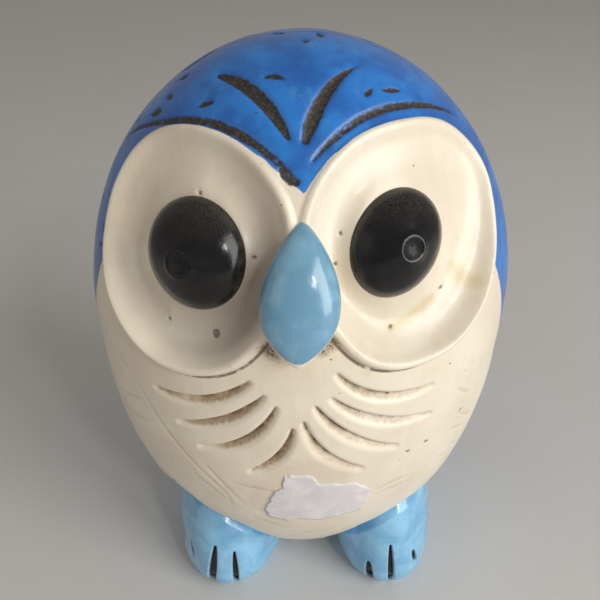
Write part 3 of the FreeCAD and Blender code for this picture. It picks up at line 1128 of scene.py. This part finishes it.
def beak_piece(material):
    """Bulging leaf shape with a keel behind that is bedded in the shell."""
    length = np.linalg.norm(BEAK_TIP - BEAK_TOP)
    down = (BEAK_TIP - BEAK_TOP) / length
    out = unit(np.cross(down, [1.0, 0.0, 0.0]))
    out = out if out[1] < 0 else -out
    rows, around = 90, 96
    t = 0.5 - 0.5 * np.cos(np.linspace(0.02, 0.985, rows) * math.pi)
    skew = math.log(0.5) / math.log(BEAK_WIDEST)
    width = BEAK_HALF_WIDTH * np.sin(math.pi * t ** skew) ** (0.55 + 0.22 * smooth_step(2.0 * t - 0.9))
    bulge = BEAK_BULGE * np.sin(math.pi * t ** 0.95) ** 0.75
    keel = 3.0 + 5.0 * t
    angle = np.linspace(0.0, 2.0 * math.pi, around, endpoint=False)
    sine = np.sin(angle)
    outer = np.where(sine > 0, 1.0, 0.0)
    x = width[:, None] * (np.cos(angle) * np.where(sine > 0, 1.0, 0.94))[None, :]
    rise = bulge[:, None] * (outer * np.abs(sine) ** 0.9)[None, :]
    sink = -keel[:, None] * ((1.0 - outer) * np.abs(sine) ** 0.45)[None, :]
    points = (
        BEAK_TOP
        + (t * length)[:, None, None] * down
        + x[:, :, None] * np.array([1.0, 0.0, 0.0])
        + (rise + sink)[:, :, None] * out
    ).reshape(-1, 3)
    faces = grid_faces(rows, around)
    points = np.vstack([points, BEAK_TOP[None, :], BEAK_TIP[None, :] - out * 3.0])
    count = rows * around
    faces += fan(count, 0, around, turned=True) + fan(count + 1, count - around, around)
    edge = rise + sink - 1.0 + 4.0 * np.maximum(0.6 - t, 0.0)[:, None]
    edge = np.concatenate([edge.reshape(-1), [3.0, 3.0]])
    masks = {
        "edge_gap": edge,
        "slot_gap": np.full(len(points), FAR),
        "floor_gap": np.full(len(points), FAR),
    }
    return make_piece("beak_leaf", leaned(points), faces, material, masks)


def foot_piece(side, material):
    """Stout foot with rounded toes parted by dark almond cuts, flat underneath."""
    rows, around = 110, 420
    rise = np.linspace(0.0, 0.9, rows)
    angle = np.linspace(0.0, 2.0 * math.pi, around, endpoint=False)
    tall, about = np.meshgrid(rise, angle, indexing="ij")
    plan = (
        np.abs(np.sin(about)) ** FOOT_PLAN_POWER + np.abs(np.cos(about)) ** FOOT_PLAN_POWER
    ) ** (-1.0 / FOOT_PLAN_POWER)
    wide, long = foot_shares(tall * FOOT_HEIGHT)
    points = np.stack(
        [
            FOOT_X[side] + FOOT_HALF_WIDTH[side] * wide * plan * np.sin(about),
            FOOT_Y - FOOT_HALF_LENGTH * long * plan * np.cos(about),
            FOOT_HEIGHT * tall,
        ],
        axis=-1,
    ).reshape(-1, 3)
    level = unit((points - [FOOT_X[side], FOOT_Y, 0.0]) * [1.0, 1.0, 0.0] + 1e-9)
    offset = points - CORE
    reach = np.linalg.norm(offset, axis=1)
    outside_body = reach - egg_radius(offset / reach[:, None])
    swell = ankle_fillet(side, outside_body, points)
    flat = points * [1.0, 0.0, 1.0] - [FOOT_X[side], 0.0, 0.0]
    slot = np.full(len(points), FAR)
    for low, high, half_width in TOE_CUTS[side]:
        along = np.linspace(0.0, 1.0, 6)
        line = np.zeros((6, 3))
        line[:, 0] = low[0] + along * (high[0] - low[0])
        line[:, 2] = low[1] + along * (high[1] - low[1])
        slot = np.minimum(slot, stroke_field(flat, line, half_width, cut_taper))
    slot = np.where(points[:, 1] < -3.0, slot, FAR)
    toes = TOE_SWELL * fade(-points[:, 1], 8.0, 16.0) * (1.0 - fade(points[:, 2], 0.0, 12.0))
    between = toes * np.exp(-(np.maximum(slot, 0.0) / TOE_SWELL_WIDTH) ** 2)
    rounding = FOOT_EDGE_ROUNDING * (1.0 - smooth_step(points[:, 2] / 3.5)) ** 2
    rounding += TOE_ROUNDING * level[:, 1] ** 2 * (1.0 - smooth_step(points[:, 2] / 9.0)) ** 2
    inward = TOE_CUT_DEPTH * smooth_step(0.5 - slot / TOE_CUT_SLOPE) + between + rounding - swell
    inward = inward + 0.15 * waves(points, 16, 30.0, 7.0, SEED + 2 + side)
    points = points - level * inward[:, None]
    points[:around, 2] = 0.0
    floor_gap = np.concatenate([points[:, 2], [FAR, FAR]])
    count = rows * around
    points = np.vstack([points, [[FOOT_X[side], FOOT_Y, 0.0], [FOOT_X[side], FOOT_Y, FOOT_HEIGHT]]])
    faces = grid_faces(rows, around)
    faces += fan(count, 0, around, turned=True) + fan(count + 1, count - around, around)
    masks = {
        "edge_gap": np.full(len(points), FAR),
        "slot_gap": np.concatenate([slot, [FAR, FAR]]),
        "floor_gap": floor_gap,
    }
    name = "left_foot" if side > 0 else "right_foot"
    return make_piece(name + "_toes", points, faces, material, masks)


# Torn outline of the label, (x, z) from the front.
LABEL_MIDDLE = (3.5, 49.5)
LABEL_OUTLINE = (
    (-3.5, 60.0), (3.0, 60.0), (4.5, 56.5), (13.0, 55.5), (17.0, 51.5), (16.5, 46.5), (15.0, 43.0),
    (6.0, 40.5), (-1.0, 41.5), (-3.5, 40.5), (-8.0, 42.0), (-8.5, 46.0), (-6.0, 53.5), (-4.0, 55.5),
)
LABEL_THICKNESS = 0.4


def label_piece(material):
    """Torn scrap of paper that follows the belly, thin and uneven at its edge."""
    around, rings = 360, 24
    corners = np.array(LABEL_OUTLINE + LABEL_OUTLINE[:1])
    lengths = np.concatenate([[0.0], np.cumsum(np.linalg.norm(np.diff(corners, axis=0), axis=1))])
    along = np.linspace(0.0, lengths[-1], around, endpoint=False)
    edge = np.stack([np.interp(along, lengths, corners[:, i]) for i in (0, 1)], axis=1)
    spread = edge - LABEL_MIDDLE
    tear = waves(np.column_stack([edge, np.zeros(around)]), 20, 7.0, 1.4, SEED + 3)
    spread = spread * (1.0 + 0.022 * tear)[:, None]
    share = np.linspace(0.0, 1.0, rings + 1)[1:]
    flat = (np.array(LABEL_MIDDLE) + share[:, None, None] * spread).reshape(-1, 2)
    base = np.vstack([egg_at(flat, "front"), egg_at([LABEL_MIDDLE], "front")])
    direction = unit(base - CORE)
    thick = LABEL_THICKNESS + 0.05 * waves(base, 12, 9.0, 2.0, SEED + 4)
    upper = base + direction * thick[:, None]
    lower = base - direction * 0.4
    count = rings * around
    faces = grid_faces(rings, around)
    faces += fan(count, 0, around, turned=True)
    total = count + 1
    faces += [tuple(total + v for v in reversed(face)) for face in faces]
    for i in range(around):
        j = (i + 1) % around
        rim = count - around
        faces.append((rim + i, rim + j, total + rim + j, total + rim + i))
    return make_piece("label_scrap", leaned(np.vstack([upper, lower])), faces, material)


# Scene -----------------------------------------------------------------------------------


def outward_faces(piece):
    """Turns every face of a closed piece outwards."""
    bpy.context.view_layer.objects.active = piece
    piece.select_set(True)
    bpy.ops.object.mode_set(mode="EDIT")
    bpy.ops.mesh.select_all(action="SELECT")
    bpy.ops.mesh.normals_make_consistent(inside=False)
    bpy.ops.object.mode_set(mode="OBJECT")
    piece.select_set(False)


def adopt(piece, node):
    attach(piece, "root")
    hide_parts(node)


def build_owl():
    paint = body_paint()
    directions, quads = cube_directions(BODY_GRID)
    points, masks = body_form(directions)
    normals = vertex_normals(points, quads)
    shells = ((-1, "front_shell", "cream_paint"), (1, "back_shell", "blue_paint"))
    for towards, node, slot in shells:
        piece = half_shell(node + "_skin", towards, directions, quads, points, normals, masks, paint)
        adopt(piece, node)
    black = eye_black()
    foot_blue = pale_blue("foot_blue", SOCK_BLUE, SOCK_BLUE_PALE)
    beak_blue = pale_blue("beak_blue", BEAK_BLUE, BEAK_BLUE_PALE)
    for side, word in ((-1, "right"), (1, "left")):
        eye = eye_piece(side, black)
        outward_faces(eye)
        adopt(eye, word + "_eye")
        foot = foot_piece(side, foot_blue)
        outward_faces(foot)
        adopt(foot, word + "_foot")
    beak = beak_piece(beak_blue)
    outward_faces(beak)
    adopt(beak, "beak")
    label = label_piece(torn_paper())
    outward_faces(label)
    adopt(label, "label_remnant")


def build_floor():
    mesh = bpy.data.meshes.new("floor")
    mesh.from_pydata([(-3, -3, 0), (3, -3, 0), (3, 3, 0), (-3, 3, 0)], [], [(0, 1, 2, 3)])
    mesh.materials.append(floor_paper())
    floor = bpy.data.objects.new("floor", mesh)
    bpy.context.scene.collection.objects.link(floor)


def area_light(name, place, target, size, power, colour=(1.0, 1.0, 1.0)):
    data = bpy.data.lights.new(name, "AREA")
    data.shape = "RECTANGLE"
    data.size, data.size_y = size
    data.energy = power
    data.color = colour
    light = bpy.data.objects.new(name, data)
    bpy.context.scene.collection.objects.link(light)
    aim = Vector(target) - Vector(place)
    light.matrix_world = Matrix.Translation(place) @ aim.to_track_quat("-Z", "Y").to_matrix().to_4x4()


def build_lights():
    centre = (0.0, 0.0, 0.09)
    area_light("window", (0.68, -0.52, 0.36), centre, (0.45, 0.9), 6.9, (1.0, 0.985, 0.96))
    area_light("glint", (0.34, -0.60, 0.50), centre, (0.08, 0.11), 0.9)
    area_light("fill", (-0.7, -0.6, 0.5), centre, (0.6, 0.6), 0.4, (1.0, 0.92, 0.84))
    world = bpy.data.worlds.new("room")
    bpy.context.scene.world = world
    world.use_nodes = True
    world.node_tree.nodes["Background"].inputs[0].default_value = (1.0, 0.94, 0.88, 1.0)
    world.node_tree.nodes["Background"].inputs[1].default_value = 0.31
    bpy.context.scene.view_settings.view_transform = "Standard"


CAMERA_PLACE = (0.0032, -0.1530, 0.1791)
CAMERA_PITCH = 32.0
CAMERA_YAW = -1.23
CAMERA_ROLL = -1.68
CAMERA_FOCAL = 690.0 / 600.0


def build_camera():
    data = bpy.data.cameras.new("camera")
    data.sensor_width = 36.0
    data.lens = 36.0 * CAMERA_FOCAL
    data.clip_start = 0.01
    pitch, yaw, roll = (math.radians(v) for v in (CAMERA_PITCH, CAMERA_YAW, CAMERA_ROLL))
    forward = np.array([math.sin(yaw) * math.cos(pitch), math.cos(yaw) * math.cos(pitch), -math.sin(pitch)])
    level = np.array([math.cos(yaw), -math.sin(yaw), 0.0])
    upright = np.cross(level, forward)
    right = math.cos(roll) * level + math.sin(roll) * upright
    up = -math.sin(roll) * level + math.cos(roll) * upright
    turn = Matrix((right, up, -forward)).transposed().to_4x4()
    camera = bpy.data.objects.new("camera", data)
    bpy.context.scene.collection.objects.link(camera)
    camera.matrix_world = Matrix.Translation(CAMERA_PLACE) @ turn
    bpy.context.scene.camera = camera


build_camera()
build_owl()
build_floor()
build_lights()
